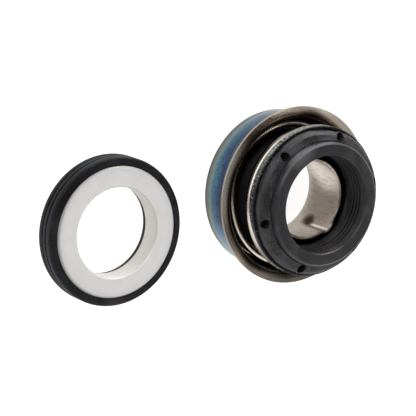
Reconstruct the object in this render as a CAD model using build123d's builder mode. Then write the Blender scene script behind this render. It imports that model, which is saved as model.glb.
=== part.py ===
from build123d import *

import os
from math import cos, hypot, pi, radians, sin, tan

# A component mechanical seal in its two halves. The spring-loaded head stands on its steel case,
# round the Z axis. The origin is on the shaft's axis, in the plane where the flange of the case
# seats on the pump housing. The seat, a ceramic ring in a rubber cup, lies beside the head.
# All lengths are in millimetres and all angles in degrees.

# ---- Driving sizes: the steel case ------------------------------------------------------------
SHAFT_BORE = 13.2  # bore of the inner sleeve, which clears the shaft
CASE_SHEET = 0.45  # sheet that the case is drawn from
CASE_DEPTH = 8.3  # rear face to the front of the flange
SLEEVE_LENGTH = 11.9  # rear face to the front end of the inner sleeve
MOUTH_RADIUS = 4.7  # trumpet-shaped bend from the sleeve into the rear face
REAR_CORNER = 1.0  # outside radius between the rear face and the outer wall
FLANGE_WIDTH = 1.6  # outer wall to the rim of the flange
FLANGE_BEND = 0.6  # radius behind the flange
SLEEVE_EDGE = 0.12  # rounding of the sleeve's front end
COAT_THICKNESS = 0.1  # sealing lacquer on the outer wall
COAT_MARGIN = 1.9  # bare wall behind the lacquer

# Lugs pressed outwards from the sleeve, open at its front end and round at their rear end
LUG_COUNT = 2
LUG_ANGLE = 303.0
LUG_RISE = 0.65
LUG_RADIUS = 1.9
LUG_REAR_GAP = 0.6  # straight sleeve between its trumpet-shaped bend and a lug
LUG_BLEND = 0.9  # radius between a lug and the sleeve

# ---- Driving sizes: the primary ring and what carries it --------------------------------------
LUG_CLEARANCE = 0.3  # between the lugs and everything that slides over them
BORE_STEPS = 3  # shallow steps that widen the ring's bore towards the face
BORE_STEP = 0.15
BORE_STEP_LENGTH = 0.6
BORE_FRONT_LENGTH = 1.7  # face to the first step
FACE_INNER_CHAMFER = 0.17
FACE_WIDTH = 1.73
NOSE_CHAMFER = 0.35
NOSE_HEIGHT = 1.25  # face above the rubber at the foot of the nose
PRIMARY_LENGTH = 3.9
PRIMARY_REAR_CHAMFER = 0.3

HEAD_WALL = 1.8  # rubber round the primary ring
HEAD_FIT = 0.05  # rubber to the primary ring and to the retainer
HEAD_WEB = 1.2  # rubber behind the primary ring
SHOULDER_SLOPE = 22.0
SHOULDER_EDGE = 0.35  # rounding of the shoulder's rim
HEAD_REAR_EDGE = 0.35
HOLE_COUNT = 6
HOLE_DIAMETER = 1.6
HOLE_DEPTH = 1.1
HOLE_ANGLE = 6.0

RETAINER_SHEET = 0.45
RETAINER_DEPTH = 2.45
RETAINER_LIFT = 3.05  # flange of the case to the rear of the retainer
RETAINER_CORNER = 0.7
RETAINER_EDGE = 0.1
VENT_DIAMETER = 0.6  # small hole through the wall of the retainer
VENT_ANGLE = 118.0
VENT_SETBACK = 0.75  # front edge of the retainer to the centre of the vent
RUNNING_GAP = 0.45  # retainer to the wall of the case

# ---- Driving sizes: spring, rest ring and bellows ---------------------------------------------
WIRE = 1.2
SPRING_GAP = 0.65  # spring to the wall of the case
ACTIVE_TURNS = 2.2
DEAD_TURNS = 0.6  # closed turns at each end
DEAD_PITCH = 1.25
PITCH_EASE = 0.4  # turns over which the pitch changes
GRIND = 0.3  # ground off each end of the spring
SPRING_END_ANGLE = 80.0
SPRING_TAPER = 1.1  # how much nearer to the axis the spring ends at the retainer
TAPER_TURNS = 1.0
REST_SHEET = 0.4
REST_HEIGHT = 2.4
REST_CORNER = 0.7
REST_GAP = 0.4  # upright of the rest ring to the inside of the spring
RUBBER_WALL = 0.8
RUBBER_GAP = 0.05  # bellows to the upright of the rest ring
FOOT_BEND = 0.85  # middle radius between the foot and the wall of the bellows
NECK_SETBACK = 0.6  # neck of the bellows outside the bore of the head
NECK_GAP = 0.1  # neck to the opening of the retainer
ROLL_RADIUS = 1.1
ROLL_LOW = 5.4  # heights of the two corners of the roll above the rear face
ROLL_HIGH = 8.2

# ---- Driving sizes: the seat ------------------------------------------------------------------
SEAT_SPACING = 5.85  # free space between the two halves
FACE_OVERLAP = 0.75  # ceramic outside the nose
FACE_UNDERLAP = 1.0  # ceramic inside the nose
MATING_THICKNESS = 3.8
MATING_CHAMFER = 0.45
MATING_BORE_CHAMFER = 0.2
CUP_FIT = 0.03
CUP_WALL = 1.47
CUP_FLOOR = 1.0
CUP_RIM_DROP = 0.35  # rim of the cup below the ceramic face
CUP_REAR_CHAMFER = 0.9
CUP_RIM_EDGE = 0.2
CUP_LIP_SETBACK = 0.2  # bore of the cup outside the bore of the ceramic
GROOVE_COUNT = 2
GROOVE_RADIUS = 0.3

# ---- Radii, from the shaft outwards -----------------------------------------------------------
sleeve_inner_r = SHAFT_BORE / 2
sleeve_outer_r = sleeve_inner_r + CASE_SHEET
lug_axis_r = sleeve_outer_r + LUG_RISE - LUG_RADIUS
head_bore_r = sleeve_outer_r + LUG_RISE + LUG_CLEARANCE
face_inner_r = head_bore_r + BORE_STEPS * BORE_STEP + FACE_INNER_CHAMFER
face_outer_r = face_inner_r + FACE_WIDTH
nose_r = face_outer_r + NOSE_CHAMFER
head_r = nose_r + HEAD_WALL
retainer_inner_r = head_r + HEAD_FIT
retainer_outer_r = retainer_inner_r + RETAINER_SHEET
case_inner_r = retainer_outer_r + RUNNING_GAP
case_outer_r = case_inner_r + CASE_SHEET
coat_outer_r = case_outer_r + COAT_THICKNESS
flange_r = case_outer_r + FLANGE_WIDTH
spring_r = case_inner_r - SPRING_GAP - WIRE / 2
rest_outer_r = spring_r + WIRE / 2
rest_inner_r = spring_r - WIRE / 2 - REST_GAP - REST_SHEET
bellows_wall_r = rest_inner_r - RUBBER_GAP - RUBBER_WALL / 2
neck_r = head_bore_r + NECK_SETBACK + RUBBER_WALL / 2
retainer_opening_r = neck_r + RUBBER_WALL / 2 + NECK_GAP

# ---- Heights, with the rear of the flange at 0 ------------------------------------------------
rear_z = CASE_SHEET - CASE_DEPTH
sleeve_end_z = rear_z + SLEEVE_LENGTH
lug_rear_z = rear_z + MOUTH_RADIUS + LUG_REAR_GAP + LUG_RADIUS
lug_length = sleeve_end_z - lug_rear_z
foot_rear_z = rear_z + CASE_SHEET
foot_top_z = foot_rear_z + RUBBER_WALL
spring_rear_z = foot_top_z + REST_SHEET
retainer_rear_z = CASE_SHEET + RETAINER_LIFT
retainer_front_z = retainer_rear_z + RETAINER_DEPTH
web_rear_z = retainer_rear_z + RETAINER_SHEET
primary_rear_z = web_rear_z + HEAD_WEB
face_z = primary_rear_z + PRIMARY_LENGTH
nose_root_z = face_z - NOSE_HEIGHT
shoulder_rim_z = nose_root_z - HEAD_WALL * tan(radians(SHOULDER_SLOPE))

# ---- Case: one drawn shell --------------------------------------------------------------------
half_case = CASE_SHEET / 2
TOUCH = 0.001  # two places nearer than this are one


def lug_form(radius):
    """Round-ended bar that forms one face of a lug, with the centre of its round end at 0, 0, 0."""
    with BuildPart() as form:
        with BuildSketch(Plane.XZ):
            with BuildLine():
                Polyline((0, -radius), (0, lug_length), (radius, lug_length), (radius, 0))
                CenterArc((0, 0), radius, 0, -90)
            make_face()
        revolve(axis=Axis.Z)
    return form.part


def lug_junctions(edges, wall_radius):
    """Edges that run where the lugs meet the sleeve's wall of this radius."""
    lug_low_z = lug_rear_z - LUG_RADIUS - TOUCH

    def is_junction(edge):
        middle = edge @ 0.5
        on_wall = abs(hypot(middle.X, middle.Y) - wall_radius) < TOUCH
        return on_wall and edge.bounding_box().min.Z > lug_low_z and middle.Z < sleeve_end_z - TOUCH

    return edges.filter_by(is_junction)


rib_form = lug_form(LUG_RADIUS)
groove_form = lug_form(LUG_RADIUS - CASE_SHEET)
with BuildPart() as case:
    with BuildSketch(Plane.XZ) as case_section:
        with BuildLine():
            FilletPolyline(
                (sleeve_inner_r + half_case, sleeve_end_z),
                (sleeve_inner_r + half_case, rear_z + half_case),
                (case_inner_r + half_case, rear_z + half_case),
                (case_inner_r + half_case, half_case),
                (flange_r, half_case),
                radius=[MOUTH_RADIUS - half_case, REAR_CORNER - half_case, FLANGE_BEND + half_case],
            )
        trace(line_width=CASE_SHEET)
    revolve(axis=Axis.Z)
    # Each lug is a round-ended rib outside and a groove inside, of one thickness with the sleeve.
    with Locations(Plane.XY.offset(lug_rear_z)):
        with PolarLocations(lug_axis_r, LUG_COUNT, start_angle=LUG_ANGLE):
            add(rib_form)
    with BuildSketch(Plane.XY.offset(lug_rear_z - LUG_RADIUS)):
        Circle(sleeve_inner_r)
    extrude(amount=LUG_RADIUS + lug_length, mode=Mode.SUBTRACT)
    with Locations(Plane.XY.offset(lug_rear_z)):
        with PolarLocations(lug_axis_r, LUG_COUNT, start_angle=LUG_ANGLE):
            add(groove_form, mode=Mode.SUBTRACT)
    fillet(lug_junctions(case.edges(), sleeve_outer_r), LUG_BLEND)
    fillet(lug_junctions(case.edges(), sleeve_inner_r), LUG_BLEND + CASE_SHEET)
    sleeve_end = case.faces().filter_by(Axis.Z).sort_by(Axis.Z)[-1]
    fillet(sleeve_end.edges(), SLEEVE_EDGE)

# ---- Lacquer on the outer wall of the case ----------------------------------------------------
with BuildPart() as sealant_coat:
    with BuildSketch(Plane.XY.offset(-FLANGE_BEND)):
        Circle(coat_outer_r)
        Circle(case_outer_r, mode=Mode.SUBTRACT)
    extrude(amount=rear_z + COAT_MARGIN + FLANGE_BEND)

# ---- Rest ring: an angle ring between the foot of the bellows and the spring ------------------
half_rest = REST_SHEET / 2
with BuildPart() as spring_rest_ring:
    with BuildSketch(Plane.XZ):
        with BuildLine():
            FilletPolyline(
                (rest_inner_r + half_rest, foot_top_z + REST_HEIGHT),
                (rest_inner_r + half_rest, foot_top_z + half_rest),
                (rest_outer_r, foot_top_z + half_rest),
                radius=REST_CORNER - half_rest,
            )
        trace(line_width=REST_SHEET)
    revolve(axis=Axis.Z)

# ---- Spring: closed and ground at both ends ---------------------------------------------------
POINTS_PER_TURN = 12
spring_turns = ACTIVE_TURNS + 2 * DEAD_TURNS
first_z = spring_rear_z + WIRE / 2 - GRIND
last_z = retainer_rear_z - WIRE / 2 + GRIND


def open_turns(turn):
    """Open turns so far, with the opening eased in and out."""
    done = min(max(turn - DEAD_TURNS, 0.0), ACTIVE_TURNS)
    opening = min(done, PITCH_EASE)
    closing = max(done - ACTIVE_TURNS + PITCH_EASE, 0.0)
    return done - opening + (opening**2 - closing**2) / (2 * PITCH_EASE)


def wire_height(turn):
    """Height of the wire after so many turns from the rear end."""
    open_rise = last_z - first_z - DEAD_PITCH * spring_turns
    return first_z + DEAD_PITCH * turn + open_rise * open_turns(turn) / open_turns(spring_turns)


def wire_radius(turn):
    """Middle radius of the spring, which narrows before the closed turns at the retainer."""
    share = min(max((turn - spring_turns + DEAD_TURNS) / TAPER_TURNS + 1.0, 0.0), 1.0)
    return spring_r - SPRING_TAPER * share**2 * (3 - 2 * share)


wire_points = []
for step in range(round(spring_turns * POINTS_PER_TURN) + 1):
    turn = step * spring_turns / round(spring_turns * POINTS_PER_TURN)
    angle = radians(SPRING_END_ANGLE) + 2 * pi * (turn - spring_turns)
    wire_points.append((wire_radius(turn) * cos(angle), wire_radius(turn) * sin(angle), wire_height(turn)))

with BuildPart() as coil_spring:
    with BuildLine() as wire_line:
        Spline(*wire_points)
    with BuildSketch(wire_line.line ^ 0):
        Circle(WIRE / 2)
    sweep()
    split(bisect_by=Plane.XY.offset(spring_rear_z), keep=Keep.TOP)
    split(bisect_by=Plane.XY.offset(retainer_rear_z), keep=Keep.BOTTOM)

# ---- Bellows: foot, rolled wall and head in one rubber moulding -------------------------------
half_rubber = RUBBER_WALL / 2
pocket_r = nose_r + HEAD_FIT
with BuildPart() as bellows:
    with BuildSketch(Plane.XZ):
        with BuildLine():
            FilletPolyline(
                (neck_r, web_rear_z + half_rubber),
                (neck_r, rear_z + ROLL_HIGH),
                (bellows_wall_r, rear_z + ROLL_LOW),
                (bellows_wall_r, foot_rear_z + half_rubber),
                (rest_outer_r, foot_rear_z + half_rubber),
                radius=[ROLL_RADIUS, ROLL_RADIUS, FOOT_BEND],
            )
        trace(line_width=RUBBER_WALL)
        # The foot is moulded to the floor of the case, where the mouth of the sleeve rises.
        add(case_section.sketch, mode=Mode.SUBTRACT)
        with BuildLine():
            Polyline(
                (head_bore_r, web_rear_z),
                (head_r - HEAD_REAR_EDGE, web_rear_z),
                (head_r, web_rear_z + HEAD_REAR_EDGE),
                (head_r, shoulder_rim_z),
                (pocket_r, nose_root_z),
                (pocket_r, primary_rear_z),
                (head_bore_r, primary_rear_z),
                close=True,
            )
        make_face()
    revolve(axis=Axis.Z)
    shoulder_rim = bellows.edges().filter_by(GeomType.CIRCLE).group_by(SortBy.RADIUS)[-1]
    fillet(shoulder_rim.sort_by(Axis.Z)[-1], SHOULDER_EDGE)
    with BuildSketch(Plane.XY.offset(nose_root_z)):
        with PolarLocations((nose_r + head_r) / 2, HOLE_COUNT, start_angle=HOLE_ANGLE):
            Circle(HOLE_DIAMETER / 2)
    extrude(amount=-(nose_root_z - shoulder_rim_z) / 2 - HOLE_DEPTH, mode=Mode.SUBTRACT)

# ---- Retainer: drawn cup round the rubber head ------------------------------------------------
half_retainer = RETAINER_SHEET / 2
with BuildPart() as retainer:
    with BuildSketch(Plane.XZ):
        with BuildLine():
            FilletPolyline(
                (retainer_opening_r, retainer_rear_z + half_retainer),
                (retainer_outer_r - half_retainer, retainer_rear_z + half_retainer),
                (retainer_outer_r - half_retainer, retainer_front_z),
                radius=RETAINER_CORNER - half_retainer,
            )
        trace(line_width=RETAINER_SHEET)
    revolve(axis=Axis.Z)
    front_edge = retainer.faces().filter_by(Axis.Z).sort_by(Axis.Z)[-1]
    fillet(front_edge.edges(), RETAINER_EDGE)
    vent_plane = Plane.XZ.rotated((0, 0, 90 + VENT_ANGLE))
    with BuildSketch(vent_plane):
        with Locations((0, retainer_front_z - VENT_SETBACK)):
            Circle(VENT_DIAMETER / 2)
    extrude(amount=retainer_outer_r, mode=Mode.SUBTRACT)

# ---- Primary ring: carbon, with the raised nose -----------------------------------------------
bore_profile = [(head_bore_r, primary_rear_z)]
for step in range(BORE_STEPS):
    step_z = face_z - BORE_FRONT_LENGTH - (BORE_STEPS - 1 - step) * BORE_STEP_LENGTH
    bore_profile.append((head_bore_r + step * BORE_STEP, step_z))
    bore_profile.append((head_bore_r + (step + 1) * BORE_STEP, step_z))
bore_profile.append((face_inner_r - FACE_INNER_CHAMFER, face_z - FACE_INNER_CHAMFER))

with BuildPart() as primary_ring:
    with BuildSketch(Plane.XZ):
        with BuildLine():
            Polyline(
                *bore_profile,
                (face_inner_r, face_z),
                (face_outer_r, face_z),
                (nose_r, face_z - NOSE_CHAMFER),
                (nose_r, primary_rear_z + PRIMARY_REAR_CHAMFER),
                (nose_r - PRIMARY_REAR_CHAMFER, primary_rear_z),
                close=True,
            )
        make_face()
    revolve(axis=Axis.Z)

# ---- Seat: ceramic ring in its rubber cup, lying on the cup -----------------------------------
mating_r = face_outer_r + FACE_OVERLAP
mating_bore_r = face_inner_r - FACE_UNDERLAP
cup_inner_r = mating_r + CUP_FIT
cup_r = cup_inner_r + CUP_WALL
seat_x = -(flange_r + SEAT_SPACING + cup_r)
cup_floor_z = rear_z + CUP_FLOOR
mating_face_z = cup_floor_z + MATING_THICKNESS
cup_rim_z = mating_face_z - CUP_RIM_DROP
seat_axis = Axis((seat_x, 0, 0), (0, 0, 1))
seat_plane = Plane((seat_x, 0, 0), x_dir=(1, 0, 0), z_dir=(0, -1, 0))

with BuildPart() as mating_ring:
    with BuildSketch(Plane((seat_x, 0, cup_floor_z))):
        Circle(mating_r)
        Circle(mating_bore_r, mode=Mode.SUBTRACT)
    extrude(amount=MATING_THICKNESS)
    rims = mating_ring.edges().filter_by(GeomType.CIRCLE).group_by(SortBy.RADIUS)
    fillet(rims[-1], MATING_CHAMFER)
    chamfer(rims[0], MATING_BORE_CHAMFER)

cup_corner_z = rear_z + CUP_REAR_CHAMFER
groove_pitch = (cup_rim_z - cup_corner_z) / (GROOVE_COUNT + 1)
with BuildPart() as cup_gasket:
    with BuildSketch(seat_plane):
        with BuildLine():
            Polyline(
                (mating_bore_r + CUP_LIP_SETBACK, rear_z),
                (cup_r - CUP_REAR_CHAMFER, rear_z),
                (cup_r, cup_corner_z),
                (cup_r, cup_rim_z),
                (cup_inner_r, cup_rim_z),
                (cup_inner_r, cup_floor_z),
                (mating_bore_r + CUP_LIP_SETBACK, cup_floor_z),
                close=True,
            )
        make_face()
        for groove in range(1, GROOVE_COUNT + 1):
            with Locations((cup_r, cup_corner_z + groove * groove_pitch)):
                Circle(GROOVE_RADIUS, mode=Mode.SUBTRACT)
    revolve(axis=seat_axis)
    rim_edges = cup_gasket.edges().filter_by(GeomType.CIRCLE).group_by(Axis.Z)[-1]
    fillet(rim_edges.sort_by(SortBy.RADIUS)[-1], CUP_RIM_EDGE)

# ---- One STEP file for each piece -------------------------------------------------------------
case.part.label = "case"
sealant_coat.part.label = "sealant_coat"
spring_rest_ring.part.label = "spring_rest_ring"
coil_spring.part.label = "coil_spring"
bellows.part.label = "bellows"
retainer.part.label = "retainer"
primary_ring.part.label = "primary_ring"
mating_ring.part.label = "mating_ring"
cup_gasket.part.label = "cup_gasket"

os.makedirs("parts", exist_ok=True)
export_step(case.part, "parts/case.step")
export_step(sealant_coat.part, "parts/sealant_coat.step")
export_step(spring_rest_ring.part, "parts/spring_rest_ring.step")
export_step(coil_spring.part, "parts/coil_spring.step")
export_step(bellows.part, "parts/bellows.step")
export_step(retainer.part, "parts/retainer.step")
export_step(primary_ring.part, "parts/primary_ring.step")
export_step(mating_ring.part, "parts/mating_ring.step")
export_step(cup_gasket.part, "parts/cup_gasket.step")
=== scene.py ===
"""Looks of a pump shaft seal: a sprung head in its drawn steel case, and a ceramic seat in its rubber cup."""

import logging
import math
from dataclasses import dataclass
from enum import Enum

import bmesh
import bpy
from mathutils import Matrix, Vector, noise


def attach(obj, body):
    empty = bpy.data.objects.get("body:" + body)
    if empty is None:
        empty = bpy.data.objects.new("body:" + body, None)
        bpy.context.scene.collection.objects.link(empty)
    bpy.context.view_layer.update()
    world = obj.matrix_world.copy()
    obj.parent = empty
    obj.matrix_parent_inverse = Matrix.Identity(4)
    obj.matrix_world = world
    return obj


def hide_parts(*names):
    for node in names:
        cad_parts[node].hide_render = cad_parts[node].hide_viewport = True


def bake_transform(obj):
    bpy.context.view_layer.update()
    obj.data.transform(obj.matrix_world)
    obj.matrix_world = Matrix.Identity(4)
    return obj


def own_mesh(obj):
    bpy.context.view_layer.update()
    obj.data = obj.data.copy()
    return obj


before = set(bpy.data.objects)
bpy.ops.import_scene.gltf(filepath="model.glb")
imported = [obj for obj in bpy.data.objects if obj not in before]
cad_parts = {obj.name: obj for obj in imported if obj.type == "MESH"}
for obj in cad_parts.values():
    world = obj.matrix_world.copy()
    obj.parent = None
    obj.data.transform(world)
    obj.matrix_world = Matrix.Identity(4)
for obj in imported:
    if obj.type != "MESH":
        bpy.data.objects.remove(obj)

log = logging.getLogger("seal")

MM = 0.001
AXIS = (0.0, 0.0, 1.0)
# Distance that lies beyond every piece, in millimetres.
BEYOND = 100.0
# Points nearer than this are merged, in metres.
WELD = 1e-7
# Steps in the rounding of a corner.
ROUND_STEPS = 6
# Angle between faces from which an edge stays crisp, in degrees.
CRISP_ANGLE = 35.0
# Share of a soft spot's radius within which it is whole.
SPOT_CORE = 0.35

# A place, or a corner's radius, height and rounding, in millimetres.
Corner = tuple[float, float, float]
# Where a share is 0 and where it is 1. Along a length it is measured in millimetres from a datum.
Reach = tuple[float, float]
# Value or output socket for each input of a node, by its name or place.
Inputs = dict[str | int, object]
Socket = bpy.types.NodeSocket
# An sRGB hex value or a socket.
Colour = str | bpy.types.NodeSocket
# The share that a coat covers, and its colour.
Coat = tuple[Socket, Colour]


class Body(Enum):
    """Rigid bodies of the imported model."""

    BASE = "base"
    FACE = "face"


class Lay(Enum):
    """Way that the lines of a drawn or turned surface run."""

    ROUND = "round the axis"
    ALONG = "along the axis"


def add_node(
    tree: bpy.types.NodeTree,
    kind: str,
    inputs: Inputs | None = None,
    **settings: object,
) -> bpy.types.Node:
    """Adds a node with its settings, values and links.

    Args:
        tree: Node tree of a material or of the world.
        kind: Type name of the node.
        inputs: Values and links of its inputs.
        **settings: Settings of the node itself, such as its operation.

    Returns:
        The new node.
    """
    node = tree.nodes.new(kind)
    for name, value in settings.items():
        setattr(node, name, value)
    for key, value in (inputs or {}).items():
        if isinstance(value, bpy.types.NodeSocket):
            tree.links.new(value, node.inputs[key])
        else:
            node.inputs[key].default_value = value
    return node


def linear(colour: str) -> tuple[float, float, float, float]:
    """Turns an sRGB hex colour linear.

    Args:
        colour: Six hex digits after a #.

    Returns:
        Linear red, green and blue, and an alpha of 1.
    """
    shares = [int(colour[k : k + 2], 16) / 255 for k in (1, 3, 5)]
    red, green, blue = [s / 12.92 if s <= 0.04045 else ((s + 0.055) / 1.055) ** 2.4 for s in shares]
    return red, green, blue, 1.0


@dataclass(frozen=True)
class Spot:
    """Soft round spot on a piece.

    Attributes:
        middle: Middle of the spot, in millimetres.
        size: Its radius, in millimetres.
    """

    middle: Corner
    size: float


@dataclass(frozen=True)
class Patch(Spot):
    """Spot of another tint painted over a finish, used here for painted shade and painted highlights.

    Attributes:
        colour: The tint, as an sRGB hex value.
    """

    colour: str


@dataclass(frozen=True)
class Surface:
    """Surface that a finish is laid on, measured from the axis of its piece.

    Attributes:
        tree: Node tree of the material.
        point: Point on the surface, in metres.
        radius: Its distance from the axis, in metres.
        height: Its height, in metres.
    """

    tree: bpy.types.NodeTree
    point: Socket
    radius: Socket
    height: Socket

    def add(self, kind: str, inputs: Inputs, output: str | int = 0, **settings: object) -> Socket:
        """Adds a node to the tree and gives one of its outputs."""
        return add_node(self.tree, kind, inputs, **settings).outputs[output]

    def wander(self, length: Socket, pattern: Socket, reach: float) -> Socket:
        """Lets a length wander with a pattern, by a reach in millimetres where the pattern is 1."""
        return self.add("ShaderNodeMath", {0: pattern, 1: reach * MM, 2: length}, operation="MULTIPLY_ADD")

    def fade(self, value: Socket, reach: Reach) -> Socket:
        """Gives a share that goes softly from 0 to 1 as a value goes through a reach."""
        ends = {"Value": value, "From Min": reach[0], "From Max": reach[1]}
        return self.add("ShaderNodeMapRange", ends, interpolation_type="SMOOTHSTEP")

    def edge(self, length: Socket, datum: float, reach: Reach) -> Socket:
        """Gives a share that goes softly from 0 to 1 over a reach about a datum, both in millimetres."""
        return self.fade(length, ((datum + reach[0]) * MM, (datum + reach[1]) * MM))

    def vary(self, pattern: Socket, first: float, last: float, reach: Reach = (0.0, 1.0)) -> Socket:
        """Gives a value that goes evenly from first to last as a pattern goes through a reach."""
        ends = {"Value": pattern, "From Min": reach[0], "From Max": reach[1], "To Min": first, "To Max": last}
        return self.add("ShaderNodeMapRange", ends)

    def distance(self, value: Socket, datum: float) -> Socket:
        """Gives how far a value is from a datum, either way."""
        away = self.add("ShaderNodeMath", {0: value, 1: datum}, operation="SUBTRACT")
        return self.add("ShaderNodeMath", {0: away}, operation="ABSOLUTE")

    def overlap(self, share: Socket, *others: Socket | float) -> Socket:
        """Gives the share where all of several shares overlap.

        Args:
            share: First share.
            *others: The other shares.

        Returns:
            Their product.
        """
        for other in others:
            share = self.add("ShaderNodeMath", {0: share, 1: other}, operation="MULTIPLY")
        return share

    def coats(self, colour: Colour, *coats: Coat) -> Colour:
        """Lays coats of colour over each other.

        Args:
            colour: Colour under the coats, as an sRGB hex value or a socket.
            *coats: Share and colour of each coat, from the lowest up.

        Returns:
            The colour that shows.
        """
        for share, coat in coats:
            under, over = [linear(tint) if isinstance(tint, str) else tint for tint in (colour, coat)]
            colour = self.add("ShaderNodeMix", {0: share, 6: under, 7: over}, 2, data_type="RGBA")
        return colour

    def spot(self, spot: Spot) -> Socket:
        """Gives the share of a soft round spot, which is whole in its core.

        Args:
            spot: The spot.

        Returns:
            The share, from 0 to 1.
        """
        middle = tuple(part * MM for part in spot.middle)
        away = self.add("ShaderNodeVectorMath", {0: self.point, 1: middle}, "Value", operation="DISTANCE")
        return self.edge(away, 0.0, (spot.size, spot.size * SPOT_CORE))

    def patched(self, patches: tuple[Patch, ...]) -> list[Coat]:
        """Gives a coat for each patch."""
        return [(self.spot(patch), patch.colour) for patch in patches]

    def grain(self, size: float, detail: float = 4.0) -> Socket:
        """Draws an even grain, from 0 to 1, of a size in millimetres and so many finer steps."""
        inputs = {"Vector": self.point, "Scale": 1 / (size * MM), "Detail": detail}
        return self.add("ShaderNodeTexNoise", inputs)

    def lines(self, spacing: float, run: float, lay: Lay = Lay.ROUND) -> Socket:
        """Draws the fine lines that a die or a tool leaves.

        Args:
            spacing: Distance from line to line, in millimetres.
            run: Distance over which a line fades, in millimetres.
            lay: Way that the lines run.

        Returns:
            The pattern, from 0 to 1.
        """
        across, along = 1 / (spacing * MM), 1 / (run * MM)
        scales = (along, along, across) if lay is Lay.ROUND else (across, across, along)
        inputs = {
            "Vector": self.add("ShaderNodeVectorMath", {0: self.point, 1: scales}, operation="MULTIPLY"),
            "W": self.add("ShaderNodeMath", {0: self.radius, 1: across}, operation="MULTIPLY"),
            "Scale": 1.0,
            "Detail": 3.0,
        }
        return self.add("ShaderNodeTexNoise", inputs, noise_dimensions="4D")

    def skin(
        self,
        looks: Inputs,
        relief: Socket,
        depth: float,
        strength: float | Socket,
        under: Inputs | None = None,
    ) -> bpy.types.Node:
        """Builds the shader of a finish, with its relief bumped.

        Args:
            looks: Value or socket for each input of the shader.
            relief: Pattern of the relief, from 0 to 1.
            depth: Depth of the relief, in millimetres.
            strength: Share of the relief that shows.
            under: Normal under the relief, where it isn't the mesh's own.

        Returns:
            The shader node.
        """
        bump = {"Strength": strength, "Distance": depth * MM, "Height": relief, **(under or {})}
        normal = self.add("ShaderNodeBump", bump)
        return add_node(self.tree, "ShaderNodeBsdfPrincipled", {**looks, "Normal": normal})


@dataclass(frozen=True)
class Finish:
    """What every finish has in common: its name, the axis that its patterns turn about and its patches."""

    name: str
    centre_x: float = 0.0
    patches: tuple[Patch, ...] = ()

    def material(self) -> bpy.types.Material:
        """Makes the material of this finish.

        Returns:
            The material, with a node tree of its own.
        """
        material = bpy.data.materials.new(self.name)
        material.use_nodes = True
        tree = material.node_tree
        tree.nodes.clear()
        shader = self.shade(self.surface(tree))
        add_node(tree, "ShaderNodeOutputMaterial", {"Surface": shader.outputs[0]})
        return material

    def surface(self, tree: bpy.types.NodeTree) -> Surface:
        """Measures the surface from the axis.

        Args:
            tree: Node tree of the material.

        Returns:
            The surface, ready for its finish.
        """
        shift = {
            "Vector": add_node(tree, "ShaderNodeTexCoord").outputs["Object"],
            "Location": (-self.centre_x * MM, 0, 0),
        }
        point = add_node(tree, "ShaderNodeMapping", shift).outputs[0]
        axes = add_node(tree, "ShaderNodeSeparateXYZ", {0: point}).outputs
        flat = add_node(tree, "ShaderNodeCombineXYZ", {0: axes[0], 1: axes[1]}).outputs[0]
        radius = add_node(tree, "ShaderNodeVectorMath", {0: flat}, operation="LENGTH").outputs["Value"]
        return Surface(tree, point, radius, axes[2])

    def shade(self, on: Surface) -> bpy.types.Node:
        """Builds the nodes of the finish.

        Args:
            on: Surface that the finish is laid on.

        Returns:
            The shader node.
        """
        raise NotImplementedError


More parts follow.
